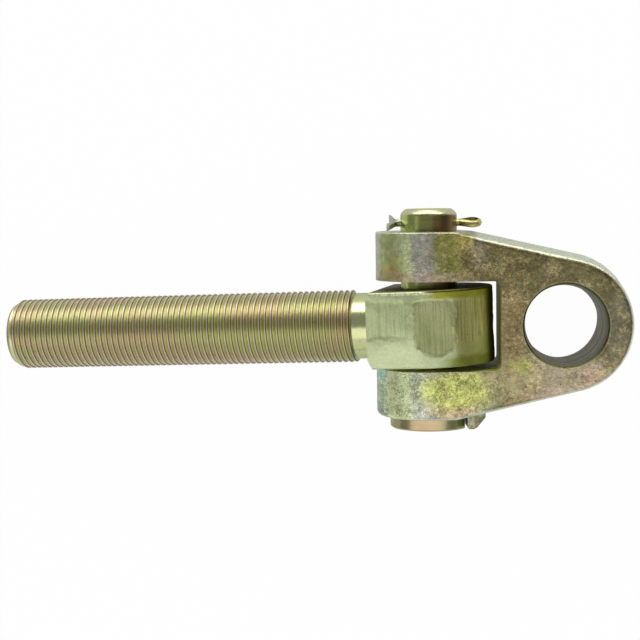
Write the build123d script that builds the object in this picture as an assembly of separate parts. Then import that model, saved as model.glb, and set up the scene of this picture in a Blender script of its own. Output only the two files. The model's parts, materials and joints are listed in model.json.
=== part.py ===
from build123d import *
from math import asin, atan2, cos, degrees, hypot, radians, sin, tan
import os

# Articulated threaded rod end, in millimetres.
#
# A forged yoke carries a large eye at one end and two round ears at the other. A threaded
# rod ends in a forged knuckle that fits between the ears, and a headed clevis pin, kept in
# by a split pin, joins the two, so that the rod swings about the pin.
#
# Every piece is drawn in the joint frame: origin on the pin axis midway between the ears,
# +X towards the eye, +Y along the pin to its split-pin end, +Z along the eye bore.
# The finished part lies on its side as it comes to rest on a flat surface, on the knuckle's
# lower corner, the rod's tip and the rim of the eye. Its origin is the centre of the eye
# bore, with +Z up from that surface.

# Threaded rod. The thread is a plain shank of full crest diameter here.
thread_diameter = 36.0
thread_length = 183.3
thread_start_chamfer = 1.8
tip_chamfer_length = 4.0
tip_chamfer_depth = 2.4
neck_diameter = 32.6
neck_length = 10.4

# Knuckle: a square shoulder on the rod's side and a round nose on the eye's side. The
# forging is drafted both ways from its parting line, and the flash that stood along that
# line is ground away in flats.
knuckle_radius = 32.5
knuckle_width = 36.8
knuckle_draft = 3.4
shoulder_distance = 25.0
shoulder_chamfer_along = 4.5
shoulder_chamfer_across = 2.2
knuckle_rim_chamfer = 0.7
# Each flat round the nose: the angle that it faces, from +Z to +X, and its depth.
ground_flats = ((12.5, 1.4), (46.0, 1.1), (78.0, 1.0))
shoulder_flat_angle = 2.5
shoulder_flat_length = 17.6

# Yoke
slot_width = 43.0
slot_corner_radius = 3.5
ear_thickness = 23.5
ear_radius = 26.0
ear_taper = 6.0
ear_taper_blend = 40.0
throat_clearance = 1.5
eye_distance = 64.5
eye_radius = 34.0
eye_thickness = 46.0
eye_bore_diameter = 37.0
eye_bore_land = 18.0
eye_mouth_diameter = 39.8
eye_mouth_chamfer = 0.7
arm_taper = 13.0
forging_draft = 5.0
forging_edge_radius = 3.0

# Lug beside the pin head, which keeps the pin from turning
lug_height = 6.3
lug_tip_width = 5.0
lug_tip_bevel = 1.2
lug_root_width = 10.2
lug_half_length = 15.0
lug_draft = 3.0
lug_clearance = 0.4

# Clevis pin
pin_diameter = 27.5
pin_clearance = 0.15
pin_hole_chamfer = 1.0
pin_head_diameter = 39.0
pin_head_thickness = 6.0
pin_head_chamfer = 0.8
pin_head_flat_distance = 16.8
pin_projection = 11.0
pin_end_chamfer = 2.4

# Split pin: half-round wire folded into an eye, its two legs bent apart past the pin. The
# wire's round side is facetted here.
split_pin_diameter = 3.6
split_pin_facets = 4
split_pin_hole_clearance = 0.4
split_pin_offset = 4.1
split_pin_strand_gap = 0.2
split_pin_roll = 15.0
split_pin_exit = 0.8
split_pin_eye_radius = 2.8
split_pin_eye_spread_angle = 28.0
split_pin_bend_radius = 3.2
split_pin_leg_length = 6.5
split_pin_front_bend_angle = 62.0
split_pin_back_bend_angle = 74.0

# The knuckle has play on the pin and in the slot, so the rod lies askew by this angle, its
# tip towards the pin head's side, and off the slot's middle by this much.
rod_skew_angle = 1.83
rod_offset = -0.65

# Sizes that follow
thread_radius = thread_diameter / 2
neck_radius = neck_diameter / 2
rod_length = shoulder_distance + neck_length + thread_length
shoulder_corner = knuckle_radius - shoulder_flat_length * tan(radians(shoulder_flat_angle))
ear_outer = slot_width / 2 + ear_thickness
throat_distance = knuckle_radius + throat_clearance
pin_radius = pin_diameter / 2
pin_hole_radius = pin_radius + pin_clearance
knuckle_bore_radius = pin_hole_radius + knuckle_width / 2 * tan(radians(rod_skew_angle))
split_pin_height = ear_outer + split_pin_offset

# Longer than any piece, for cuts that run right through
through = 3 * (rod_length + eye_distance + eye_radius)


def both_halves(outline, parting_plane, half_thickness, draft):
    """A forging with this outline at its parting plane, drafted both ways from it."""
    half = extrude(parting_plane * outline, half_thickness, taper=draft)
    return half + mirror(half, about=parting_plane)


def knuckle_outline():
    """Side view of the knuckle, run on past its shoulder."""
    blank_end = -shoulder_distance - knuckle_radius
    top = Line((blank_end, knuckle_radius), (0, knuckle_radius))
    nose = CenterArc((0, 0), knuckle_radius, -90, 180)
    bottom = Line((0, -knuckle_radius), (blank_end, -knuckle_radius))
    back = Line((blank_end, -knuckle_radius), (blank_end, knuckle_radius))
    return make_face([top, nose, bottom, back])


def ground_flat(angle, distance):
    """Tool for one ground flat: all beyond this distance, facing this angle from +Z to +X."""
    size = 4 * knuckle_radius
    return Rot(Y=angle) * Pos(Z=distance + size / 2) * Box(size, size, size)


def knuckle_grinding():
    """Every ground flat: one that deepens towards the shoulder, the rest round the nose."""
    tilt = radians(shoulder_flat_angle)
    fade_x = shoulder_flat_length - shoulder_distance
    shoulder_flat = knuckle_radius * cos(tilt) - fade_x * sin(tilt)
    tools = [ground_flat(-shoulder_flat_angle, shoulder_flat)]
    for angle, depth in ground_flats:
        tools.append(ground_flat(angle, knuckle_radius - depth))
    return tools + [mirror(tool, about=Plane.XY) for tool in tools]


def knuckle():
    """Forged knuckle with a square shoulder, chamfered rims and ground flats."""
    body = both_halves(knuckle_outline(), Plane.XZ, knuckle_width / 2, knuckle_draft)
    body -= Pos(X=-shoulder_distance - through / 2) * Box(through, through, through)
    shoulder = body.faces().sort_by(Axis.X)[0]
    across = shoulder.edges().filter_by(Axis.Z)
    body = chamfer(across, shoulder_chamfer_along, shoulder_chamfer_across, reference=shoulder)
    sides = body.faces().filter_by(Axis.Y)
    rims = sides.edges() - sides.edges().group_by(Axis.X)[0]
    body = chamfer(rims, knuckle_rim_chamfer)
    return body - knuckle_grinding()


def threaded_rod():
    """Threaded shank, relief neck and knuckle, one forging, with the pin's bore through it."""
    thread_start = shoulder_distance + neck_length
    shank_root = (shoulder_distance + knuckle_bore_radius) / 2
    profile = Polyline(
        (-shank_root, 0),
        (-shank_root, neck_radius),
        (-thread_start, neck_radius),
        (-thread_start - thread_start_chamfer, thread_radius),
        (-rod_length + tip_chamfer_length, thread_radius),
        (-rod_length, thread_radius - tip_chamfer_depth),
        (-rod_length, 0),
        close=True,
    )
    shank = revolve(make_face(profile), Axis.X)
    bore = Rot(X=90) * Cylinder(knuckle_bore_radius, through)
    return knuckle() + shank - bore


def pin_bore():
    """Bore for the pin through both ears, with its outer rims chamfered."""
    bore = Cylinder(pin_hole_radius, 2 * ear_outer)
    rim = Cone(pin_hole_radius, pin_hole_radius + pin_hole_chamfer, pin_hole_chamfer)
    bore += Pos(Z=ear_outer - pin_hole_chamfer / 2) * rim
    bore += Pos(Z=pin_hole_chamfer / 2 - ear_outer) * Rot(X=180) * rim
    return Rot(X=90) * bore


def yoke_outline():
    """Plan of the yoke at its parting plane, run on past the ears."""
    angle = radians(arm_taper)
    tangent_x = eye_distance + eye_radius * sin(angle)
    tangent_y = eye_radius * cos(angle)
    blank_end = -2 * ear_radius
    blank_y = tangent_y + (tangent_x - blank_end) * tan(angle)
    upper = Line((blank_end, blank_y), (tangent_x, tangent_y))
    eye = CenterArc((eye_distance, 0), eye_radius, arm_taper - 90, 180 - 2 * arm_taper)
    lower = Line((tangent_x, -tangent_y), (blank_end, -blank_y))
    back = Line((blank_end, -blank_y), (blank_end, blank_y))
    return make_face([upper, eye, lower, back])


def yoke_side():
    """Side view of the yoke: round ears that taper down to the eye's flat faces."""
    angle = radians(ear_taper)
    tangent_x = ear_radius * sin(angle)
    tangent_z = ear_radius * cos(angle)
    flat_z = eye_thickness / 2
    flat_x = tangent_x + (tangent_z - flat_z) / tan(angle)
    end_x = eye_distance + 2 * eye_radius
    nose = CenterArc((0, 0), ear_radius, 90 - ear_taper, 180 + 2 * ear_taper)
    rest = Polyline(
        (tangent_x, tangent_z),
        (flat_x, flat_z),
        (end_x, flat_z),
        (end_x, -flat_z),
        (flat_x, -flat_z),
        (tangent_x, -tangent_z),
    )
    face = make_face([nose] + rest.edges())
    kinks = face.vertices().filter_by_position(Axis.X, flat_x, flat_x)
    return Plane.XZ * fillet(kinks, ear_taper_blend)


def yoke_slot():
    """The open slot between the ears, with rounded corners at its throat."""
    length = throat_distance + 2 * ear_radius
    corners = Pos(throat_distance - length / 2, 0) * RectangleRounded(length, slot_width, slot_corner_radius)
    return extrude(corners, through / 2, both=True)


def lug():
    """Forged lug on the outer face of the ear beside the pin head."""
    near = pin_head_flat_distance + lug_clearance
    root = -ear_outer + lug_height
    tip = -ear_outer - lug_height
    corners = Polyline(
        (near, root),
        (near, tip),
        (near + lug_tip_width, tip),
        (near + lug_root_width, -ear_outer),
        (near + lug_root_width, root),
        close=True,
    )
    face = make_face(corners)
    bevelled = chamfer(face.vertices().group_by(Axis.Y)[0], lug_tip_bevel)
    return both_halves(bevelled, Plane.XY, lug_half_length, lug_draft)


def yoke():
    """Forged yoke: eye, tapering arms and ears, then the machined slot, bores and faces."""
    body = both_halves(yoke_outline(), Plane.XY, ear_radius, forging_draft)
    body &= extrude(yoke_side(), through / 2, both=True)
    body &= Box(through, 2 * ear_outer, through)
    rims = body.edges().filter_by(lambda edge: abs(edge.center().Z) > eye_thickness / 4)
    noses = body.edges().group_by(Axis.X)[0].filter_by(GeomType.CIRCLE)
    across = body.edges().filter_by(Axis.Y)
    body = fillet(rims + noses - across, forging_edge_radius)
    body += lug()
    body -= yoke_slot()
    body -= pin_bore()
    body -= Pos(X=eye_distance) * eye_bore()
    return body


def eye_bore():
    """Bore of the eye: a land at mid thickness, a taper to each mouth and a chamfered rim."""
    half = eye_thickness / 2
    radius = eye_bore_diameter / 2
    mouth = eye_mouth_diameter / 2
    profile = Polyline(
        (0, -half),
        (mouth + eye_mouth_chamfer, -half),
        (mouth, eye_mouth_chamfer - half),
        (radius, -eye_bore_land / 2),
        (radius, eye_bore_land / 2),
        (mouth, half - eye_mouth_chamfer),
        (mouth + eye_mouth_chamfer, half),
        (0, half),
        close=True,
    )
    return revolve(make_face(Plane.XZ * profile), Axis.Z)


def clevis_pin():
    """Headed pin with a flat on its head, a cross hole and a chamfered end."""
    length = 2 * ear_outer + pin_projection
    shank = Pos(Y=pin_projection / 2) * Rot(X=-90) * Cylinder(pin_radius, length)
    shank = chamfer(shank.edges().sort_by(Axis.Y)[-1], pin_end_chamfer)
    head = Rot(X=-90) * Cylinder(pin_head_diameter / 2, pin_head_thickness)
    head = chamfer(head.edges().sort_by(Axis.Y)[0], pin_head_chamfer)
    head = Pos(Y=-ear_outer - pin_head_thickness / 2) * head
    body = shank + head
    body -= Pos(X=pin_head_flat_distance + through / 2, Y=-ear_outer - through / 2) * Box(through, through, through)
    hole_radius = split_pin_diameter / 2 + split_pin_hole_clearance
    body -= Pos(Y=split_pin_height) * Rot(Y=90) * Cylinder(hole_radius, 2 * pin_diameter)
    return body


def split_pin_path():
    """Path of the wire's flat side, in the XZ plane: leg, eye and leg."""
    half_gap = split_pin_strand_gap / 2
    clear = pin_radius + split_pin_exit
    eye_spread = radians(split_pin_eye_spread_angle)
    neck = clear + split_pin_bend_radius * tan(eye_spread / 2)
    eye_half_width = split_pin_eye_radius * tan((radians(90) + eye_spread) / 2) + half_gap
    eye_end = neck + (eye_half_width - half_gap) / tan(eye_spread)
    front_corner, front_tip = split_pin_leg(split_pin_front_bend_angle, half_gap)
    back_corner, back_tip = split_pin_leg(split_pin_back_bend_angle, half_gap)
    points = [
        (front_tip[0], 0, front_tip[1]),
        (front_corner, 0, half_gap),
        (neck, 0, half_gap),
        (eye_end, 0, eye_half_width),
        (eye_end, 0, -eye_half_width),
        (neck, 0, -half_gap),
        (back_corner, 0, -half_gap),
        (back_tip[0], 0, -back_tip[1]),
    ]
    bend = split_pin_bend_radius
    eye = split_pin_eye_radius
    return FilletPolyline(*points, radius=[bend, bend, eye, eye, bend, bend])


def split_pin_leg(bend, half_gap):
    """Where a leg's bend has its corner, and how far along and out its tip is."""
    angle = radians(bend)
    tangent = split_pin_bend_radius * tan(angle / 2)
    corner = -pin_radius - split_pin_exit - tangent
    reach = tangent + split_pin_leg_length
    tip = (corner - reach * cos(angle), half_gap + reach * sin(angle))
    return corner, tip


def split_pin():
    """Wire swept round the eye and both legs, rolled in its hole."""
    path = split_pin_path()
    forward = path % 0
    outward = Vector(-forward.Z, 0, forward.X)
    turns = [radians(180 * step / split_pin_facets) for step in range(split_pin_facets + 1)]
    radius = split_pin_diameter / 2
    section = make_face(Polyline(*[(radius * sin(turn), radius * cos(turn)) for turn in turns], close=True))
    start = Plane(origin=path @ 0, x_dir=outward, z_dir=forward)
    wire = sweep(start * section, path)
    return Pos(Y=split_pin_height) * Rot(X=split_pin_roll) * wire


def rod_droop():
    """Angle in radians between the rod and the surface that it lies on."""
    run = rod_length - tip_chamfer_length - shoulder_distance
    return atan2(shoulder_corner - thread_radius, run)


def pin_rest_height():
    """Height of the pin's axis above the surface, with the knuckle's corner on it."""
    return shoulder_corner * cos(rod_droop()) + shoulder_distance * sin(rod_droop())


def yoke_droop():
    """Angle in radians between the eye's faces and the surface, with the eye's rim on it."""
    rim_x = eye_distance + eye_radius - eye_thickness / 2 * tan(radians(forging_draft)) - forging_edge_radius
    rim_z = eye_thickness / 2 - forging_edge_radius
    fall = pin_rest_height() - forging_edge_radius
    return asin(fall / hypot(rim_x, rim_z)) - atan2(rim_z, rim_x)


def lay_down():
    """The four pieces as they lie, with the origin at the centre of the eye bore."""
    eye_centre = Rot(Y=degrees(yoke_droop())) * Pos(X=-eye_distance)
    pin_axis = Pos(eye_centre.position)
    rod_place = pin_axis * Pos(Y=rod_offset) * Rot(Z=rod_skew_angle) * Rot(Y=-degrees(rod_droop()))
    return {
        "yoke": eye_centre * yoke(),
        "clevis_pin": eye_centre * clevis_pin(),
        "split_pin": eye_centre * split_pin(),
        "threaded_rod": rod_place * threaded_rod(),
    }


def main():
    os.makedirs("parts", exist_ok=True)
    for node, piece in lay_down().items():
        export_step(piece, "parts/" + node + ".step")


main()
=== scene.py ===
import bpy
import bmesh
import json
import math
from mathutils import Matrix, Vector


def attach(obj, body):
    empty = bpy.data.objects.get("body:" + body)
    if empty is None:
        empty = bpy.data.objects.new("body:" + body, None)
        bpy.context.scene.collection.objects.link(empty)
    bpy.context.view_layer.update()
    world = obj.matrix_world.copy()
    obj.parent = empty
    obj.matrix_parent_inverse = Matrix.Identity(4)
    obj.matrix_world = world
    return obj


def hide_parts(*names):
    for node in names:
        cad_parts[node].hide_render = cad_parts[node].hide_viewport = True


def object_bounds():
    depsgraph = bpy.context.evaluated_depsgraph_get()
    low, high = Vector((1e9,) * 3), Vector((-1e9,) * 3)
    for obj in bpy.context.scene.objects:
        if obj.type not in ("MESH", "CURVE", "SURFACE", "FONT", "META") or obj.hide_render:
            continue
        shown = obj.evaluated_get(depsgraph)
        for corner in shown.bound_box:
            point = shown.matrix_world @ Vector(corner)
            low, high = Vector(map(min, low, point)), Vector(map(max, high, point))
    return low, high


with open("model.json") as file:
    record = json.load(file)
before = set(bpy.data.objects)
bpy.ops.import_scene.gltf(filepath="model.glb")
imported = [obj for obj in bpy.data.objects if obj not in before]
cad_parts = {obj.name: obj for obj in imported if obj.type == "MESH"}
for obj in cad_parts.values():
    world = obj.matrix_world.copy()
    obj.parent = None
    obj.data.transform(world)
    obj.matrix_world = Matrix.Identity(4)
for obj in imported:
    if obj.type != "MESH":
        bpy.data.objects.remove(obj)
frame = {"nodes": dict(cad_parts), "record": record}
cad_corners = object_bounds()

# Places and directions, in metres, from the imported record, and how far along Y from the
# middle of the pin the rod's line passes.
mounts = {mount["name"]: mount for mount in frame["record"]["mounts"]}
ROD_DIRECTION = Vector(mounts["shank_thread"]["axis"])
EYE_AXIS = Vector(mounts["eye_bore"]["axis"])
PIN_PLACE = Vector(frame["record"]["behaviour"]["joints"][0]["pos_m"])
ROD_OFFSET = -0.00065
ROD_PLACE = Vector((PIN_PLACE.x, ROD_OFFSET, PIN_PLACE.z))
EYE_DISTANCE = PIN_PLACE.length
FLOOR_HEIGHT = cad_corners[0].z

# Yoke, in metres and degrees: its upper ear is faced out to a length, and blends from there.
EAR_RADIUS = 0.026
EAR_OUTER = 0.045
EAR_TAPER = 6
FORGING_FILLET = 0.003
FACED_FILLET = 0.0007
FACED_LENGTH = 0.010
FACED_BLEND = 0.008
SLOT_END = 0.0345
SLOT_HALF_WIDTH = 0.0217
BORE_MOUTH = 0.0208

# Cosines: a face whose direction agrees less than this with the eye's axis is upright, and
# neighbours whose directions agree more than this are one skin.
UPRIGHT = 0.7
ONE_SKIN = 0.87

# Clevis pin, in metres along it: where its head ends, where the chamfer on its other end
# starts, and how round the chamfer's edges are.
PIN_HEAD_END = -0.045
PIN_CHAMFER_START = 0.0530
PIN_END_ROUNDING = 0.0010

# Knuckle, in metres from the pin: where it ends, the grid that is cut into it, and its skin,
# which is worn round outside a radius, between its rims and short of its square end.
KNUCKLE_END = 0.0249
KNUCKLE_GRID = 0.0015
KNUCKLE_CUTS_ALONG = range(-21, 17)
KNUCKLE_CUTS_ACROSS = range(-11, 12)
KNUCKLE_SKIN_RADIUS = 0.026
KNUCKLE_SKIN_HALF_WIDTH = 0.0172
KNUCKLE_SQUARE = 0.0195
KNUCKLE_SMOOTHINGS = 14

# Neck, in metres along the rod from the pin. The points of the fillet at its foot are
# measured from the knuckle's end and out from the neck.
NECK_RADIUS = 0.0163
NECK_END = 0.0354
NECK_OVERLAP = 0.0002
NECK_SEGMENTS = 96
NECK_FILLET = ((-0.0004, 0.0016), (0.0002, 0.0009), (0.0007, 0.0003), (0.0014, 0.0))

# Thread, in metres, with its flanks in degrees. Its roundings are shares of the flank and of
# the crest, its run-out rises from the neck at a slope, and spare turns are cut off its ends.
THREAD_LENGTH = 0.1833
THREAD_RADIUS = 0.018
THREAD_PITCH = 0.003
THREAD_DEPTH = 0.00184
THREAD_FLANK_ANGLE = 30
THREAD_CREST = THREAD_PITCH / 8
THREAD_ROUNDING = 0.12
CREST_ROUNDING = 0.2
THREAD_ROOT_RISE = 0.0001
THREAD_RUN_OUT_SLOPE = 1.2
THREAD_SPARE_TURNS = 2
THREAD_SEGMENTS = 80
TIP_CHAMFER_LENGTH = 0.004
TIP_CHAMFER_DEPTH = 0.0024

# Edges sharper than this many degrees stay crisp.
YOKE_CRISP = 30
PIN_CRISP = 25
WIRE_CRISP = 55
KNUCKLE_CRISP = 25
NECK_CRISP = 40
THREAD_CRISP = 25

# Distance within which two points are one.
SAME_POINT = 1e-6

# Studio: the camera's place in metres and its turn in degrees, the floor's shade and how
# much of its white is seen and mirrored, the world's shades, and for each lamp its angle from
# straight up towards +Y, the degrees that its width covers, its length in metres and its
# brightness.
CAMERA_PLACE = (0.0097038, 0.0660025, 0.7404969)
CAMERA_TURN = (-5.1069, 9.8522, -0.8224)
CAMERA_LENS = 84.4896
CAMERA_SENSOR = 36
CAMERA_NEAR = 0.01
FLOOR_RADIUS = 4
FLOOR_SEGMENTS = 96
FLOOR_ROUGHNESS = 0.9
FLOOR_WHITE = (0.9, 0.9, 0.9, 1)
FLOOR_SEEN = 0.98
FLOOR_MIRRORED = 0.14
WORLD_GREY = (0.26, 0.26, 0.26)
WORLD_WHITE = (1.0, 1.0, 1.0)
LAMP_DISTANCE = 1.6
LAMP_MIDDLE = -0.1
LAMPS = (
    ("upper_lamp", 76, 38, 3.0, 2.6),
    ("near_lamp", -22.6, 40, 4.0, 0.92),
    ("lower_lamp", -66, 42, 4.0, 0.5),
)

# Stains and pits.
BROWN = (0.40, 0.31, 0.15)
DARK_OLIVE = (0.16, 0.16, 0.05)


# ---------------------------------------------------------------- shader maths


class Value:
    """One value on its way through a material's nodes, with arithmetic on it."""

    def __init__(self, tree, socket=None):
        self.tree = tree
        self.socket = socket

    def node(self, kind, settings=None, sockets=None, output=0):
        """Adds a node, sets it up, feeds its sockets, and gives one of its outputs."""
        made = self.tree.nodes.new("ShaderNode" + kind)
        for name, setting in (settings or {}).items():
            setattr(made, name, setting)
        for name, value in (sockets or {}).items():
            if isinstance(name, int):
                socket = made.inputs[name]
            else:
                socket = next(s for s in made.inputs if s.enabled and s.name == name)
            if isinstance(value, Value):
                self.tree.links.new(value.socket, socket)
            elif isinstance(value, tuple) and len(value) == 3 and len(socket.default_value) == 4:
                socket.default_value = (*value, 1)
            else:
                socket.default_value = value
        shown = [s for s in made.outputs if s.enabled]
        return Value(self.tree, shown[output])

    def math(self, operation, *others):
        """This value, worked with others."""
        return self.node("Math", {"operation": operation}, dict(enumerate((self, *others))))

    def vector_math(self, operation, *others):
        """This place or colour, worked with others."""
        return self.node("VectorMath", {"operation": operation}, dict(enumerate((self, *others))))

    def __add__(self, other):
        return self.math("ADD", other)

    __radd__ = __add__

    def __sub__(self, other):
        return self.math("SUBTRACT", other)

    def __rsub__(self, other):
        return self.math("MULTIPLY", -1).math("ADD", other)

    def __mul__(self, other):
        return self.math("MULTIPLY", other)

    __rmul__ = __mul__

    def step(self, low, high):
        """0 at low and 1 at high, with a smooth rise between them, whichever is larger."""
        ends = {"Value": self, "From Min": min(low, high), "From Max": max(low, high)}
        if low > high:
            ends.update({"To Min": 1.0, "To Max": 0.0})
        return self.node("MapRange", {"interpolation_type": "SMOOTHSTEP"}, ends)

    def band(self, low, high, soft):
        """1 between low and high, and 0 outside them."""
        return self.step(low - soft, low + soft) * self.step(high + soft, high - soft)

    def mix(self, none, full):
        """The colour none where this value is 0, and full where it is 1."""
        return self.node("Mix", {"data_type": "RGBA"}, {"Factor": self, "A": none, "B": full})

    def stretched(self, along, across, up):
        """This place with its axes scaled."""
        return self.vector_math("MULTIPLY", (along, across, up))

    def noise(self, scale, detail=3.0, roughness=0.55, distortion=0.0):
        """Soft noise from 0 to 1 at this place."""
        shape = {"Scale": scale, "Detail": detail, "Roughness": roughness}
        sockets = {"Vector": self, "Distortion": distortion, **shape}
        return self.node("TexNoise", {}, sockets)

    def strayed(self, scale, distance):
        """This place moved about by noise, so that what is drawn on it has ragged borders."""
        sockets = {"Vector": self, "Scale": scale, "Detail": 4.0}
        colour = self.node("TexNoise", {}, sockets, output=1)
        centred = colour.vector_math("SUBTRACT", (0.5, 0.5, 0.5))
        shift = centred.vector_math("MULTIPLY", (distance, distance, distance))
        return self.vector_math("ADD", shift)

    def patch(self, centre, size, soft):
        """1 inside an oval patch and 0 outside it."""
        away = self.vector_math("SUBTRACT", centre).vector_math("DIVIDE", size)
        return away.vector_math("LENGTH").step(1 + soft, 1 - soft)

    def cells(self, scale):
        """Distance to the nearest of a scatter of points."""
        return self.node("TexVoronoi", {}, {"Vector": self, "Scale": scale})

    def axes(self):
        """The three parts of this place."""
        outputs = self.node("SeparateXYZ", {}, {0: self}).socket.node.outputs
        return [Value(self.tree, outputs[i]) for i in range(3)]

    def attribute(self, name):
        """A value that the mesh carries."""
        return self.node("Attribute", {"attribute_name": name}, output=2)

    def crease(self, width):
        """Thin wandering lines, 1 on them, where this noise passes through its middle."""
        return (self - 0.5).math("ABSOLUTE").step(width, 0.0)

    def shaded(self, factor):
        """This colour made darker or lighter by a factor."""
        return self.vector_math("MULTIPLY", factor)

    def mottled(self, noise, low, high, share):
        """This colour made darker where the noise is low, and lighter where it is high."""
        return self.shaded((noise.step(low, high) - 0.5) * share + 1.0)

    def bump(self, strength, distance):
        """The surface's normal, tilted by this height."""
        return self.node("Bump", {}, {"Height": self, "Strength": strength, "Distance": distance})


def new_finish(name):
    """A metal with only a Principled shader: the material, its shader and the object's place."""
    material = bpy.data.materials.new(name)
    material.use_nodes = True
    tree = material.node_tree
    shader = next(n for n in tree.nodes if n.type == "BSDF_PRINCIPLED")
    shader.inputs["Metallic"].default_value = 1.0
    return material, shader, Value(tree).node("TexCoord", output=3)


def feed(shader, **values):
    """Feeds the shader's sockets with values or links."""
    for name, value in values.items():
        socket = shader.inputs[name.replace("_", " ").title()]
        if isinstance(value, Value):
            shader.id_data.links.new(value.socket, socket)
        else:
            socket.default_value = value


def yoke_frame():
    """Turns +X to the line from the pin to the eye's centre, with its Z along the eye's bore."""
    ahead = (-PIN_PLACE).normalized()
    return Matrix((ahead, EYE_AXIS.cross(ahead), EYE_AXIS)).transposed()


def rod_frame():
    """Turns +X to the rod's direction, with its Y across the rod in the plane of the floor."""
    across = Vector((0, 0, 1)).cross(ROD_DIRECTION).normalized()
    up = ROD_DIRECTION.cross(across)
    return Matrix((ROD_DIRECTION, across, up)).transposed()


# ---------------------------------------------------------------- finishes


def measured_from(place, origin, axes):
    """The place measured from an origin, along a piece's own axes."""
    sockets = {"Vector": place, "Location": tuple(origin), "Rotation": tuple(axes.to_euler())}
    return place.node("Mapping", {"vector_type": "TEXTURE"}, sockets)


def rolled_thread():
    """Thread and neck: pinkish cream crests, yellow-green flanks and brown roots."""
    material, shader, place = new_finish("rolled_thread")
    along, across, up = measured_from(place, ROD_PLACE, rod_frame()).axes()
    radius = (across * across + up * up).math("SQRT")
    on_thread = along.step(NECK_END - 0.0004, NECK_END + 0.0006)
    drift = place.stretched(1, 2.2, 2.2).noise(26, 4)
    warm = drift.step(0.42, 0.62)
    flank_colour = warm.mix((0.70, 0.74, 0.40), (0.74, 0.67, 0.44))
    crest_colour = warm.mix((0.80, 0.72, 0.58), (0.80, 0.66, 0.56))
    crest = radius.step(THREAD_RADIUS - 0.00035, THREAD_RADIUS - 0.00020)
    crest_edge = radius.band(THREAD_RADIUS - 0.00078, THREAD_RADIUS - 0.00036, 0.00010)
    root = radius.step(THREAD_RADIUS - 0.00160, THREAD_RADIUS - 0.00175)
    colour = crest.mix(flank_colour, crest_colour)
    colour = crest_edge.mix(colour, (0.22, 0.13, 0.07))
    colour = root.mix(colour, (0.44, 0.42, 0.20))
    neck_colour = drift.step(0.35, 0.65).mix((0.57, 0.66, 0.29), (0.69, 0.72, 0.39))
    shoulder_ring = along.step(KNUCKLE_END + 0.0015, KNUCKLE_END + 0.0005)
    neck_colour = shoulder_ring.mix(neck_colour, (0.40, 0.26, 0.17))
    stain = place.noise(420, 5).step(0.60, 0.72) * 0.5
    feed(
        shader,
        base_color=stain.mix(on_thread.mix(neck_colour, colour), BROWN),
        roughness=place.noise(300, 4) * 0.10 + on_thread * 0.14 + 0.16,
        normal=place.noise(900, 3).bump(0.08, 0.0002),
    )
    return material


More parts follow.
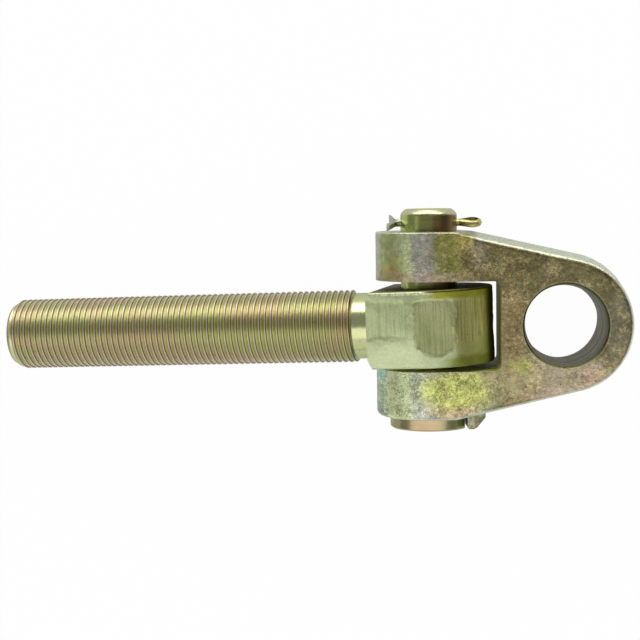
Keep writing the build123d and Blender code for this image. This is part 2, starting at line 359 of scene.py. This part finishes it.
def forged_knuckle():
    """Forged and partly ground: sage green, with grinding lines in its ground patches."""
    material, shader, place = new_finish("forged_knuckle")
    rod = measured_from(place, ROD_PLACE, rod_frame())
    clean_along, clean_across, clean_up = rod.axes()
    along, across, _ = rod.strayed(170, 0.0050).axes()

    # The ground patches: a square one by the shoulder, and bowed ones round the nose.
    ground = across.band(*SQUARE_PATCH_ACROSS, 0.0018) * along.band(*SQUARE_PATCH_ALONG, 0.0018)
    for middle, half_length, top, bottom in GROUND_PATCHES:
        from_middle = along - middle
        bowed = bottom - from_middle * from_middle * (GROUND_BOW / half_length**2)
        inside = across.step(top - 0.0009, top + 0.0009) * (bowed - across).step(-0.0014, 0.0014)
        inside *= along.band(middle - half_length, middle + half_length, 0.0012)
        ground = ground.math("MAXIMUM", inside)
    lines = rod.stretched(1, 0.03, 1).noise(800, 4, 0.85)

    # Forged skin, paler at the lower corner by the shoulder, and yellower round the nose.
    cloud = place.noise(70, 5, 0.6)
    clouded = cloud.step(0.35, 0.65)
    colour = clouded.mix((0.46, 0.53, 0.28), (0.56, 0.60, 0.35))
    pale = across.step(0.002, 0.009) * along.step(-0.016, -0.004)
    colour = (pale * 0.75).mix(colour, (0.66, 0.73, 0.44))
    nose = along.step(-0.014, -0.022)
    colour = (nose * 0.8).mix(colour, (0.44, 0.46, 0.12))

    # Ground patches, with the grinder's lines, and a ridge between the two round the nose.
    ground_colour = clouded.mix((0.35, 0.39, 0.18), (0.45, 0.48, 0.24))
    ground_colour = nose.mix(ground_colour, (0.58, 0.56, 0.20))
    by_shoulder = along.step(0.003, 0.006)
    ground_colour = by_shoulder.mix(ground_colour, (0.56, 0.64, 0.35))
    colour = ground.mix(colour, ground_colour)
    deep = 0.42 - along.step(0.002, 0.007) * 0.14 + along.step(-0.016, -0.018) * 0.12
    scored = lines.step(0.46, 0.58) * ground * deep
    colour = scored.mix(colour, (0.20, 0.17, 0.07))
    ridge = along.band(-0.0182, -0.0170, 0.0005) * ground
    colour = (ridge * 0.6).mix(colour, (0.40, 0.28, 0.14))

    # Rims and sides: olive, and painted shade nearly black beside the ears, with a painted
    # highlight on the top rim.
    olive_side = clean_across.step(-0.0138, -0.0150) * along.step(-0.002, -0.010)
    colour = olive_side.mix(colour, (0.40, 0.40, 0.05))
    # Painted highlight: a ragged bright line along the top rim, near the pin.
    painted_rim_highlight = along.step(-0.010, -0.002) * clean_across.band(-0.0178, -0.0166, 0.0003)
    painted_rim_highlight *= place.noise(600, 3).step(0.40, 0.55)
    colour = painted_rim_highlight.mix(colour, (0.86, 0.88, 0.62))
    beyond_skin = clean_across * -1 - KNUCKLE_SKIN_HALF_WIDTH
    # Painted shade: the top rim nearly black out towards the nose.
    painted_rim_shade = beyond_skin.step(0.0, 0.0004) * clean_along.step(-0.002, -0.008)
    colour = painted_rim_shade.mix(colour, (0.05, 0.05, 0.01))
    # Painted shadow: the side face beyond the top rim, dark where the slot shades it.
    painted_side_shadow = beyond_skin.step(0.0007, 0.0010)
    colour = painted_side_shadow.mix(colour, (0.15, 0.14, 0.06))
    low_side = across.step(0.0120, 0.0150) * along.step(-0.010, -0.018)
    colour = (low_side * 0.8).mix(colour, (0.22, 0.24, 0.02))
    end = along.step(-0.0290, -0.0312)
    colour = end.mix(colour, (0.30, 0.34, 0.03))
    # Painted shade: the far end nearly black below its top, where it turns away from the light.
    painted_end_shade = clean_along.step(-0.0262, -0.0312) * clean_up.step(0.0135, 0.0050)
    colour = painted_end_shade.mix(colour, (0.03, 0.03, 0.012))

    # Pits and speckle.
    pits = rod.strayed(260, 0.002).cells(230).step(0.11, 0.03)
    pits *= place.noise(80).step(0.55, 0.62)
    colour = pits.mix(colour, DARK_OLIVE)
    speckle = place.noise(1300, 3, 0.7)
    colour = colour.shaded(speckle.step(0.35, 0.65) * 0.16 + 0.93)
    skin = place.noise(420, 4, 0.6) + place.noise(120, 3, 0.5) * 2.5
    height = skin * (1 - ground) * 0.8 + lines * ground * 0.5 + ground * -0.15 - pits
    feed(
        shader,
        base_color=colour,
        roughness=cloud * 0.14 + 0.36,
        metallic=1 - along.step(-0.022, -0.030) * 0.65,
        normal=height.bump(0.6, 0.0003),
    )
    return material


# Ground patches on the knuckle, in the rod's frame: the ends of the square one along the rod
# and across it, and for those round the nose the middle and half length along the rod, and
# the top and bottom across it. Their bottoms bow by the same depth.
SQUARE_PATCH_ALONG = (0.0055, 0.0255)
SQUARE_PATCH_ACROSS = (-0.0145, 0.0042)
GROUND_BOW = 0.004
GROUND_PATCHES = (
    (-0.0078, 0.0094, -0.0140, 0.0125),
    (-0.0236, 0.0060, -0.0142, 0.0070),
)


def forged_yoke():
    """Forged skin: brown-olive, mottled gold, pink and green, and pale on its rims, partly as a
    painted reflection.
    """
    material, shader, place = new_finish("forged_yoke")
    local = measured_from(place, PIN_PLACE, yoke_frame())
    stray = local.strayed(130, 0.008).strayed(500, 0.003)
    x, y, z = local.axes()
    from_bore = local.vector_math("SUBTRACT", (EYE_DISTANCE, 0.0, 0.0))
    bore_radius = from_bore.stretched(1, 1, 0).vector_math("LENGTH")

    grain = place.strayed(400, 0.0015).noise(560, 4, 0.75)
    fine_grain = place.noise(1500, 2, 0.7)
    coarse = place.noise(210, 4, 0.7)
    cloud = place.noise(60, 5, 0.65)

    # Brown-olive skin, and its patches of colour.
    colour = cloud.step(0.35, 0.65).mix((0.17, 0.145, 0.066), (0.225, 0.20, 0.10))
    for centre, size, soft, share, tint in YOKE_PATCHES:
        colour = (stray.patch(centre, size, soft) * share).mix(colour, tint)

    # Gold and rosy flecks, dark wrinkles on the lower ear and gold curls on the arms.
    gold = place.strayed(300, 0.002).noise(620, 3, 0.65).step(0.56, 0.63)
    gilt = gold * x.step(-0.004, 0.003) * x.step(0.062, 0.042)
    colour = (gilt * 0.60).mix(colour, (0.48, 0.37, 0.11))
    rosy = place.noise(430, 4, 0.65).step(0.58, 0.66)
    colour = (rosy * 0.50).mix(colour, (0.54, 0.36, 0.27))
    wrinkles = place.noise(430, 3, 0.6, 0.8).crease(0.085)
    wrinkled = y.step(0.004, -0.016) * x.step(0.048, 0.030) * 0.40 + 0.25
    wrinkled *= place.noise(150, 2).step(0.40, 0.56)
    colour = (wrinkles * wrinkled * 0.75).mix(colour, (0.17, 0.16, 0.06))
    curls = place.noise(380, 3, 0.65, 1.0).crease(0.07) * place.noise(120, 2).step(0.50, 0.60)
    colour = (curls * x.step(-0.002, 0.004) * 0.75).mix(colour, (0.56, 0.46, 0.22))

    # Mottling, weaker on the upper ear's nose, and pits.
    contrast = place.noise(95, 3).step(0.38, 0.60) * 0.6 + 0.4
    contrast *= x.step(-0.024, -0.002).math("MAXIMUM", y.step(0.0, -0.010))
    colour = colour.mottled(grain, 0.32, 0.68, contrast * 0.72)
    colour = colour.mottled(fine_grain, 0.34, 0.66, contrast * 0.42)
    colour = colour.mottled(coarse, 0.30, 0.70, 0.40)
    pits = place.strayed(260, 0.002).cells(200).step(0.12, 0.04)
    pits *= place.noise(75).step(0.52, 0.60)
    colour = (pits * 0.85).mix(colour, (0.06, 0.05, 0.03))

    # Pale sides of the arms, of the lower ear and of the upper ear's outer face: partly their own
    # smooth zinc, partly a painted reflection of the white floor where faces are steep.
    side = place.attribute("side") + (grain - 0.5) * 0.22
    on_arm = (x + (coarse - 0.5) * 0.016).step(0.0165, 0.0245)
    outer_face = y.step(EAR_OUTER - 0.0012, EAR_OUTER - 0.0003)
    outer_face *= cloud.step(0.35, 0.60) * 0.30 + 0.55
    under = y.step(-0.030, -0.038) * x.step(-0.016, -0.010) * 0.75
    pale = on_arm.math("MAXIMUM", under).math("MAXIMUM", outer_face) * side.step(0.10, 0.34)
    mottle = place.noise(260, 4, 0.7).step(0.3, 0.7)
    pale_zinc_and_reflection = mottle.mix((0.60, 0.65, 0.46), (0.87, 0.91, 0.74))
    colour = pale.mix(colour, pale_zinc_and_reflection)

    # Walls of the slot, and the eye's bore with its turned rings and its lip.
    slot = place.attribute("slot")
    colour = slot.mix(colour, (0.64, 0.63, 0.15))
    rings = local.stretched(0.02, 0.02, 1).noise(900, 3, 0.7)
    bore_colour = rings.step(0.36, 0.64).mix((0.26, 0.24, 0.15), (0.70, 0.68, 0.60))
    in_eye = bore_radius.step(BORE_MOUTH - 0.0007, BORE_MOUTH - 0.0009)
    colour = in_eye.mix(colour, bore_colour)
    near_mouth = in_eye * z.step(0.010, 0.0225)
    colour = (near_mouth * 0.55).mix(colour, (0.20, 0.22, 0.08))
    lip_edge = bore_radius.band(BORE_MOUTH - 0.0001, BORE_MOUTH + 0.0003, 0.0002)
    colour = (lip_edge * 0.5).mix(colour, (0.42, 0.44, 0.30))
    lip = bore_radius.band(BORE_MOUTH - 0.0010, BORE_MOUTH - 0.0003, 0.0002)
    colour = (lip * 0.85).mix(colour, (0.08, 0.10, 0.01))

    height = place.noise(240, 4, 0.55) * 0.8 + grain * 0.55
    height = height - pits * 0.9 - wrinkles * wrinkled * 0.5
    feed(
        shader,
        base_color=colour,
        roughness=grain * 0.16 + 0.32 - pale * 0.12,
        metallic=1 - slot * 0.85,
        normal=height.bump(0.75, 0.0004),
    )
    return material


# Patches of colour on the yoke, in its own frame from the pin: centre, half sizes,
# softness, strength and colour.
YOKE_PATCHES = (
    # Upper ear
    ((-0.0150, 0.033, 0.024), (0.0110, 0.020, 0.030), 0.4, 0.9, (0.66, 0.75, 0.41)),
    # Painted shade: a darker olive band where the ear's round nose turns away.
    ((-0.0205, 0.033, 0.018), (0.0030, 0.020, 0.030), 0.6, 0.7, (0.38, 0.43, 0.17)),
    # Painted highlight: a pale grey strip along the nose's edge.
    ((-0.0265, 0.033, 0.010), (0.0030, 0.020, 0.030), 0.6, 0.9, (0.66, 0.68, 0.56)),
    ((-0.0165, 0.028, 0.024), (0.0035, 0.006, 0.030), 0.6, 0.8, (0.52, 0.50, 0.16)),
    ((-0.0030, 0.034, 0.026), (0.0060, 0.020, 0.020), 0.4, 0.95, (0.38, 0.38, 0.32)),
    ((0.0080, 0.034, 0.026), (0.0065, 0.014, 0.020), 0.5, 0.75, (0.25, 0.26, 0.07)),
    ((0.0150, 0.040, 0.026), (0.0050, 0.004, 0.020), 0.5, 0.7, (0.46, 0.40, 0.12)),
    ((0.0240, 0.036, 0.025), (0.0040, 0.008, 0.020), 0.6, 0.6, (0.34, 0.30, 0.24)),
    ((-0.0020, 0.023, 0.026), (0.0180, 0.0035, 0.020), 0.5, 0.6, (0.52, 0.42, 0.34)),
    ((-0.0180, 0.024, 0.024), (0.0060, 0.0030, 0.020), 0.5, 0.7, (0.58, 0.40, 0.20)),
    # Lower ear
    ((-0.0020, -0.033, 0.024), (0.0300, 0.020, 0.030), 0.3, 0.95, (0.62, 0.64, 0.50)),
    ((-0.0230, -0.024, 0.018), (0.0050, 0.008, 0.030), 0.6, 0.95, (0.50, 0.92, 0.80)),
    ((-0.0240, -0.036, 0.014), (0.0040, 0.010, 0.030), 0.6, 0.8, (0.60, 0.76, 0.54)),
    ((-0.0150, -0.033, 0.024), (0.0078, 0.016, 0.030), 0.3, 1.0, (0.88, 1.00, 0.56)),
    ((-0.0040, -0.034, 0.026), (0.0050, 0.014, 0.020), 0.5, 0.8, (0.62, 0.64, 0.55)),
    ((0.0120, -0.031, 0.025), (0.0170, 0.0100, 0.020), 0.4, 0.9, (0.74, 0.80, 0.22)),
    ((0.0120, -0.041, 0.025), (0.0110, 0.0030, 0.020), 0.5, 0.8, (0.76, 0.58, 0.36)),
    # Below the eye and round it
    ((0.0620, -0.024, 0.023), (0.0240, 0.0100, 0.020), 0.5, 0.85, (0.58, 0.50, 0.36)),
    ((0.0400, -0.024, 0.024), (0.0140, 0.0120, 0.020), 0.5, 0.8, (0.50, 0.44, 0.24)),
    ((0.0420, -0.019, 0.024), (0.0060, 0.0030, 0.020), 0.5, 0.8, (0.50, 0.54, 0.14)),
    ((0.0760, -0.024, 0.023), (0.0050, 0.0040, 0.020), 0.6, 0.8, (0.62, 0.42, 0.32)),
    ((0.0560, -0.033, 0.023), (0.0120, 0.0030, 0.020), 0.6, 0.7, (0.60, 0.44, 0.34)),
    ((0.0390, 0.000, 0.024), (0.0050, 0.0200, 0.020), 0.5, 0.8, (0.34, 0.25, 0.13)),
    ((0.0890, -0.002, 0.023), (0.0060, 0.0180, 0.020), 0.5, 0.7, (0.24, 0.22, 0.15)),
)


def turned_pin():
    """Turned steel, green on one side and brown on the other, with tan on its head."""
    material, shader, place = new_finish("turned_pin")
    offset = place.vector_math("SUBTRACT", tuple(PIN_PLACE))
    x, y, _ = offset.strayed(120, 0.0015).axes()
    cloud = place.noise(110, 4)
    dark_green = x.step(-0.0055, -0.0025)
    colour = dark_green.mix((0.50, 0.58, 0.18), (0.22, 0.22, 0.08))
    dark_brown = x.step(0.0020, 0.0045)
    colour = dark_brown.mix(colour, (0.15, 0.10, 0.04))
    brown = x.step(0.0110, 0.0130)
    colour = brown.mix(colour, (0.30, 0.22, 0.11))
    end = y.step(PIN_CHAMFER_START - 0.0005, PIN_CHAMFER_START + 0.0005)
    colour = end.mix(colour, (0.58, 0.60, 0.34))
    head = y.step(PIN_HEAD_END + 0.001, PIN_HEAD_END - 0.001)
    head_colour = x.band(-0.010, 0.008, 0.006).mix((0.40, 0.40, 0.20), (0.62, 0.47, 0.28))
    colour = head.mix(colour, head_colour)
    turning = place.stretched(0.02, 1, 0.02).noise(1800, 3)
    feed(
        shader,
        base_color=colour.shaded(cloud * 0.6 + 0.70),
        roughness=cloud * 0.10 + 0.22,
        normal=turning.bump(0.15, 0.0002),
    )
    return material


def drawn_wire():
    """Drawn wire, gold at the split pin's eye and grey at its legs."""
    material, shader, place = new_finish("drawn_wire")
    x, _, _ = place.axes()
    legs = x.step(-0.070, -0.078)
    colour = legs.mix((0.55, 0.50, 0.20), (0.50, 0.50, 0.42))
    feed(shader, base_color=colour, roughness=0.28, normal=place.noise(900).bump(0.2, 0.0002))
    return material


# ---------------------------------------------------------------- pieces


def piece(name, bm, material, body, slot, *nodes):
    """Makes an object from a bmesh, rides it on its body and lets it stand for CAD nodes."""
    mesh = bpy.data.meshes.new(name)
    bm.to_mesh(mesh)
    bm.free()
    obj = bpy.data.objects.new(name, mesh)
    bpy.context.scene.collection.objects.link(obj)
    obj.data.materials.append(material)
    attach(obj, body)
    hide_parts(*nodes)
    return obj


def soften(bm, sharp_angle):
    """Shades every face smooth, but keeps the edges sharper than this many degrees crisp."""
    for face in bm.faces:
        face.smooth = True
    for edge in bm.edges:
        if len(edge.link_faces) == 2:
            edge.smooth = edge.calc_face_angle() < math.radians(sharp_angle)


def everything(bm):
    """All of a mesh's points, edges and faces."""
    return bm.verts[:] + bm.edges[:] + bm.faces[:]


def merge(bm):
    """Makes points that lie together one, and turns every face outwards."""
    bmesh.ops.remove_doubles(bm, verts=bm.verts, dist=SAME_POINT)
    bmesh.ops.recalc_face_normals(bm, faces=bm.faces)


def cut(bm, place, direction, clear_outer=False):
    """Cuts a line round the mesh, and can clear away what lies beyond it."""
    bmesh.ops.bisect_plane(
        bm, geom=everything(bm), plane_co=place, plane_no=direction, clear_outer=clear_outer
    )


def close_ends(bm):
    """Fills the mesh's open ends."""
    bmesh.ops.holes_fill(bm, edges=[edge for edge in bm.edges if edge.is_boundary])


def forging(node):
    """A copy of a CAD node's mesh."""
    bm = bmesh.new()
    bm.from_mesh(frame["nodes"][node].data)
    merge(bm)
    return bm


def even_normals(obj):
    """Large faces keep their own direction where they run into rounded ones."""
    modifier = obj.modifiers.new("even_normals", "WEIGHTED_NORMAL")
    modifier.keep_sharp = True
    modifier.weight = 100


def turned(profile, segments, advance=0.0, use_merge=False):
    """A surface turned round +X, from points given as distance along it and radius."""
    bm = bmesh.new()
    line = [bm.verts.new((along, 0, radius)) for along, radius in profile]
    edges = [bm.edges.new(pair) for pair in zip(line, line[1:])]
    bmesh.ops.spin(
        bm,
        geom=line + edges,
        cent=(0, 0, 0),
        axis=(1, 0, 0),
        dvec=(advance / segments, 0, 0),
        angle=2 * math.pi,
        steps=segments,
        use_merge=use_merge,
    )
    return bm


def set_on_rod(bm, along, sharp_angle):
    """Moves what was made along +X to its place along the rod."""
    place = Matrix.Translation(ROD_PLACE + ROD_DIRECTION * along) @ rod_frame().to_4x4()
    bmesh.ops.transform(bm, matrix=place, verts=bm.verts)
    bmesh.ops.recalc_face_normals(bm, faces=bm.faces)
    soften(bm, sharp_angle)


def thread_profile():
    """One pitch of the thread, as distance along the rod and radius, from root to root."""
    flank = THREAD_DEPTH * math.tan(math.radians(THREAD_FLANK_ANGLE))
    root = THREAD_PITCH - THREAD_CREST - 2 * flank
    low = THREAD_RADIUS - THREAD_DEPTH
    shoulder = THREAD_RADIUS - THREAD_DEPTH * THREAD_ROUNDING
    return (
        (0, low + THREAD_ROOT_RISE),
        (root * 0.5, low),
        (root, low + THREAD_ROOT_RISE),
        (root + flank * (1 - THREAD_ROUNDING), shoulder),
        (root + flank + THREAD_CREST * CREST_ROUNDING, THREAD_RADIUS),
        (root + flank + THREAD_CREST * (1 - CREST_ROUNDING), THREAD_RADIUS),
        (root + flank * (1 + THREAD_ROUNDING) + THREAD_CREST, shoulder),
        (THREAD_PITCH, low + THREAD_ROOT_RISE),
    )


def thread_reach(along):
    """Radius that the thread stays within: its run-out at the neck and its chamfer at the tip."""
    from_tip = THREAD_LENGTH - along
    chamfer = THREAD_RADIUS - TIP_CHAMFER_DEPTH * (1 - from_tip / TIP_CHAMFER_LENGTH)
    return min(THREAD_RADIUS, chamfer, NECK_RADIUS + along * THREAD_RUN_OUT_SLOPE)


def build_thread():
    """The helical thread, from the neck's end to its closed tip."""
    start = -THREAD_SPARE_TURNS * THREAD_PITCH
    turns = round(THREAD_LENGTH / THREAD_PITCH) + 2 * THREAD_SPARE_TURNS
    profile = [(start + along, radius) for along, radius in thread_profile()]
    bm = turned(profile, THREAD_SEGMENTS, advance=THREAD_PITCH)
    one_turn = everything(bm)
    for count in range(1, turns):
        copy = bmesh.ops.duplicate(bm, geom=one_turn)["geom"]
        verts = [item for item in copy if isinstance(item, bmesh.types.BMVert)]
        bmesh.ops.translate(bm, verts=verts, vec=(count * THREAD_PITCH, 0, 0))
    bmesh.ops.remove_doubles(bm, verts=bm.verts, dist=SAME_POINT)
    cut(bm, (0, 0, 0), (-1, 0, 0), clear_outer=True)
    cut(bm, (THREAD_LENGTH, 0, 0), (1, 0, 0), clear_outer=True)
    for v in bm.verts:
        reach = thread_reach(v.co.x)
        radius = math.hypot(v.co.y, v.co.z)
        if radius > reach:
            v.co.y *= reach / radius
            v.co.z *= reach / radius
    close_ends(bm)
    set_on_rod(bm, NECK_END, THREAD_CRISP)
    return bm


def build_neck():
    """Turned neck, with a small fillet into the knuckle's shoulder."""
    profile = [(KNUCKLE_END + along, NECK_RADIUS + out) for along, out in NECK_FILLET]
    profile.append((NECK_END + NECK_OVERLAP, NECK_RADIUS))
    bm = turned(profile, NECK_SEGMENTS, use_merge=True)
    merge(bm)
    set_on_rod(bm, 0.0, NECK_CRISP)
    return bm


def build_knuckle():
    """The knuckle of the forging, with the borders of its ground flats worn round."""
    bm = forging("threaded_rod")
    cut(bm, ROD_PLACE + ROD_DIRECTION * KNUCKLE_END, ROD_DIRECTION, clear_outer=True)
    close_ends(bm)
    _, across, up = rod_frame().col
    for direction, cuts in ((ROD_DIRECTION, KNUCKLE_CUTS_ALONG), (across, KNUCKLE_CUTS_ACROSS)):
        for count in cuts:
            cut(bm, ROD_PLACE + direction * (count * KNUCKLE_GRID), direction)
    skin = []
    for v in bm.verts:
        local = v.co - ROD_PLACE
        along = local.dot(ROD_DIRECTION)
        on_outside = math.hypot(along, local.dot(up)) > KNUCKLE_SKIN_RADIUS
        off_rims = abs(local.dot(across)) < KNUCKLE_SKIN_HALF_WIDTH
        if on_outside and off_rims and along < KNUCKLE_SQUARE:
            skin.append(v)
    for _ in range(KNUCKLE_SMOOTHINGS):
        bmesh.ops.smooth_vert(
            bm, verts=skin, factor=0.5, use_axis_x=True, use_axis_y=True, use_axis_z=True
        )
    bmesh.ops.recalc_face_normals(bm, faces=bm.faces)
    soften(bm, KNUCKLE_CRISP)
    return bm


def join(bm, other):
    """Adds another mesh to this one, in the object's second material."""
    for face in other.faces:
        face.material_index = 1
    mesh = bpy.data.meshes.new("joined")
    other.to_mesh(mesh)
    other.free()
    bm.from_mesh(mesh)
    bpy.data.meshes.remove(mesh)


def build_rod():
    """The rod: its forged knuckle, turned neck and rolled thread."""
    bm = build_knuckle()
    join(bm, build_neck())
    join(bm, build_thread())
    rod = piece("rod", bm, forged_knuckle(), "rod_body", "threaded_rod", "threaded_rod")
    rod.data.materials.append(rolled_thread())
    even_normals(rod)


def sharpen_upper_ear(bm):
    """Draws the upper ear's outer fillet out to the smaller radius of a faced ear."""
    axes = yoke_frame()
    taper = math.radians(EAR_TAPER)
    slack = 0.01
    for v in bm.verts:
        local = axes.transposed() @ (v.co - PIN_PLACE)
        above = 1 if local.z > 0 else -1
        if local.x < EAR_RADIUS * math.sin(taper):
            out = Vector((local.x, 0, local.z)).normalized()
        else:
            out = Vector((math.sin(taper), 0, above * math.cos(taper)))
        reach = local.dot(out)
        rise = (reach - (EAR_RADIUS - FORGING_FILLET)) / FORGING_FILLET
        run = (local.y - (EAR_OUTER - FORGING_FILLET)) / FORGING_FILLET
        if rise < -slack or run < -slack or run > 1 + slack:
            continue
        share = min(1.0, max(0.0, (FACED_LENGTH + FACED_BLEND - local.x) / FACED_BLEND))
        drawn = share * (FORGING_FILLET - FACED_FILLET)
        local += out * (drawn * (1 - min(1.0, rise)))
        local.y += drawn * (1 - min(1.0, max(0.0, run)))
        v.co = PIN_PLACE + axes @ local


def mark_yoke(bm):
    """Marks how steep the yoke's outer skin is, and the walls of its slot."""
    side = bm.loops.layers.float.new("side")
    slot = bm.loops.layers.float.new("slot")
    ahead = yoke_frame().col[0]
    for face in bm.faces:
        middle = face.calc_center_median() - PIN_PLACE
        along = middle.dot(ahead)
        upright = abs(face.normal.dot(EYE_AXIS)) < UPRIGHT
        in_slot = upright and along < SLOT_END and abs(middle.y) < SLOT_HALF_WIDTH
        in_bore = math.hypot(along - EYE_DISTANCE, middle.y) < BORE_MOUTH
        for loop in face.loops:
            normals = [neighbour.normal for neighbour in loop.vert.link_faces]
            near = [normal for normal in normals if normal.dot(face.normal) > ONE_SKIN]
            normal = sum(near, Vector()).normalized()
            steep = 1 - abs(normal.dot(EYE_AXIS))
            loop[side] = 0.0 if in_slot or in_bore else steep
            loop[slot] = 1.0 if in_slot else 0.0


def round_pin_end(bm):
    """Rounds both edges of the chamfer on the pin's end."""
    edges = []
    for edge in bm.edges:
        at_end = min(v.co.y for v in edge.verts) > PIN_CHAMFER_START
        inner = len(edge.link_faces) == 2
        if at_end and inner and edge.calc_face_angle() > math.radians(PIN_CRISP):
            edges.append(edge)
    bmesh.ops.bevel(
        bm,
        geom=edges,
        offset=PIN_END_ROUNDING,
        offset_type="OFFSET",
        segments=4,
        profile=0.5,
        affect="EDGES",
        material=-1,
    )


def dress(name, node, material, slot, sharp_angle, *shaping):
    """Makes a piece of the yoke's body from its CAD node, shaped further and given its finish."""
    bm = forging(node)
    for shape in shaping:
        shape(bm)
    soften(bm, sharp_angle)
    even_normals(piece(name, bm, material, "yoke_body", slot, node))


# ---------------------------------------------------------------- studio


def overhead_camera():
    """A long lens that looks down on the object."""
    camera = bpy.data.objects.new("camera", bpy.data.cameras.new("camera"))
    bpy.context.scene.collection.objects.link(camera)
    camera.location = CAMERA_PLACE
    camera.rotation_euler = [math.radians(angle) for angle in CAMERA_TURN]
    camera.data.lens = CAMERA_LENS
    camera.data.sensor_width = CAMERA_SENSOR
    camera.data.clip_start = CAMERA_NEAR
    bpy.context.scene.camera = camera


def white_floor():
    """A white floor that keeps the object's shadow."""
    bm = bmesh.new()
    bmesh.ops.create_circle(bm, cap_ends=True, segments=FLOOR_SEGMENTS, radius=FLOOR_RADIUS)
    bmesh.ops.translate(bm, verts=bm.verts, vec=(0, 0, FLOOR_HEIGHT))
    mesh = bpy.data.meshes.new("floor")
    bm.to_mesh(mesh)
    bm.free()
    floor = bpy.data.objects.new("floor", mesh)
    bpy.context.scene.collection.objects.link(floor)
    material = bpy.data.materials.new("floor")
    material.use_nodes = True
    tree = material.node_tree
    shader = next(n for n in tree.nodes if n.type == "BSDF_PRINCIPLED")
    shader.inputs["Base Color"].default_value = FLOOR_WHITE
    shader.inputs["Roughness"].default_value = FLOOR_ROUGHNESS
    rays = Value(tree).node("LightPath").socket.node
    seen = Value(tree, rays.outputs["Is Camera Ray"])
    mirrored = Value(tree, rays.outputs["Is Glossy Ray"])
    share = seen * FLOOR_SEEN + mirrored * FLOOR_MIRRORED
    glow = Value(tree).node("Emission", {}, {"Strength": 1.0})
    lit = Value(tree, shader.outputs[0])
    both = share.node("MixShader", {}, {0: share, 1: lit, 2: glow})
    out = next(n for n in tree.nodes if n.type == "OUTPUT_MATERIAL")
    tree.links.new(both.socket, out.inputs["Surface"])
    floor.data.materials.append(material)


def plain_world():
    """White to the camera, and a plain grey to everything else."""
    world = bpy.data.worlds.new("studio")
    bpy.context.scene.world = world
    world.use_nodes = True
    tree = world.node_tree
    back = next(n for n in tree.nodes if n.type == "BACKGROUND")
    rays = Value(tree).node("LightPath").socket.node
    shade = Value(tree, rays.outputs["Is Camera Ray"]).mix(WORLD_GREY, WORLD_WHITE)
    tree.links.new(shade.socket, back.inputs["Color"])


def soft_lamps():
    """Long soft lamps that lie along the rod, each at its own angle round it."""
    for name, angle, width, length, brightness in LAMPS:
        tall = 2 * LAMP_DISTANCE * math.tan(math.radians(width / 2))
        light = bpy.data.lights.new(name, "AREA")
        light.shape = "RECTANGLE"
        light.size, light.size_y = length, tall
        # A face of this area shines at its brightness with this power.
        light.energy = brightness * math.pi * length * tall
        lamp = bpy.data.objects.new(name, light)
        bpy.context.scene.collection.objects.link(lamp)
        middle = Matrix.Translation((LAMP_MIDDLE, 0, 0))
        turn = Matrix.Rotation(math.radians(-angle), 4, "X")
        lamp.matrix_world = middle @ turn @ Matrix.Translation((0, 0, LAMP_DISTANCE))


overhead_camera()
white_floor()
plain_world()
soft_lamps()
build_rod()
dress("forged_yoke", "yoke", forged_yoke(), "forged_yoke", YOKE_CRISP, sharpen_upper_ear, mark_yoke)
dress("turned_pin", "clevis_pin", turned_pin(), "turned_pin", PIN_CRISP, round_pin_end)
dress("bent_wire", "split_pin", drawn_wire(), "wire", WIRE_CRISP)

bpy.context.scene.view_settings.view_transform = "Standard"
